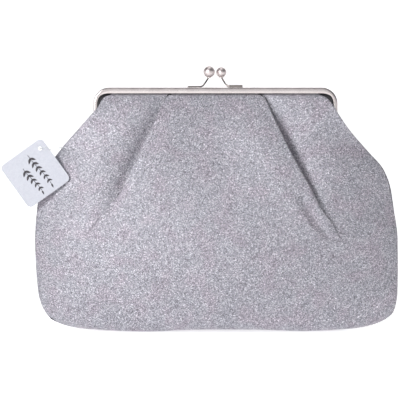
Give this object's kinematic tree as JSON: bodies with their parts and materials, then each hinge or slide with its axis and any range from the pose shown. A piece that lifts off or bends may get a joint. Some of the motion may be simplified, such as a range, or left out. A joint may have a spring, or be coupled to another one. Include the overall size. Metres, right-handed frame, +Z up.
{
  "type": "evening bag",
  "caption": "Kiss-lock evening clutch in silver glitter fabric on a hinged nickel frame, with ball clasp, lining, padding and a hang tag.",
  "frame": {"origin": "middle of the flat base the bag stands on", "axes": "+X across the bag to the right seen from the front, -Y out of the front, +Z up to the clasp"},
  "size_m": [0.2922, 0.054, 0.1954],
  "materials": {
    "glitter_fabric": "woven metallic glitter",
    "lining_satin": "satin",
    "wadding_felt": "matte felt",
    "nickel_plate": "bright nickel plate",
    "rivet_steel": "plated",
    "paper_cord": "twisted kraft",
    "tag_card": "smooth uncoated",
    "clear_nylon": "clear monofilament"
  },
  "bodies": {
    "bag_body": {"front_panel": "glitter_fabric", "rear_panel": "glitter_fabric", "front_wadding": "wadding_felt", "rear_wadding": "wadding_felt", "front_lining": "lining_satin", "rear_lining": "lining_satin", "left_hinge_rivet": "rivet_steel", "right_hinge_rivet": "rivet_steel"},
    "front_half": {"front_frame": "nickel_plate", "front_panel_top": "glitter_fabric", "front_lining_top": "lining_satin", "front_channel_cord": "paper_cord", "front_clasp_arm": "nickel_plate", "front_clasp_ball": "nickel_plate"},
    "rear_half": {"rear_frame": "nickel_plate", "rear_panel_top": "glitter_fabric", "rear_lining_top": "lining_satin", "rear_channel_cord": "paper_cord", "rear_clasp_arm": "nickel_plate", "rear_clasp_ball": "nickel_plate"},
    "tag_loop": {"tag_string": "clear_nylon"},
    "tag_card": {"hang_tag": "tag_card"}
  },
  "joints": [
    {"name": "front_hinge", "type": "hinge", "parent": "bag_body", "child": "front_half", "pos_m": [0, 0, 0.12], "axis": [1, 0, 0], "range_deg": [0, 35]},
    {"name": "rear_hinge", "type": "hinge", "parent": "bag_body", "child": "rear_half", "pos_m": [0, 0, 0.12], "axis": [1, 0, 0], "range_deg": [-35, 0]},
    {"name": "loop_pitch", "type": "hinge", "parent": "front_half", "child": "tag_loop", "pos_m": [-0.1116, -0.008, 0.1353], "axis": [1, 0, 0], "range_deg": [-35, 0]},
    {"name": "tag_swing", "type": "hinge", "parent": "tag_loop", "child": "tag_card", "pos_m": [-0.1289, -0.01, 0.1351], "axis": [0, -1, 0], "range_deg": [-25, 30]}
  ],
  "couplings": [
    {"joint": "rear_hinge", "follows": "front_hinge", "ratio": -1},
    {"joint": "loop_pitch", "follows": "front_hinge", "ratio": -1}
  ]
}
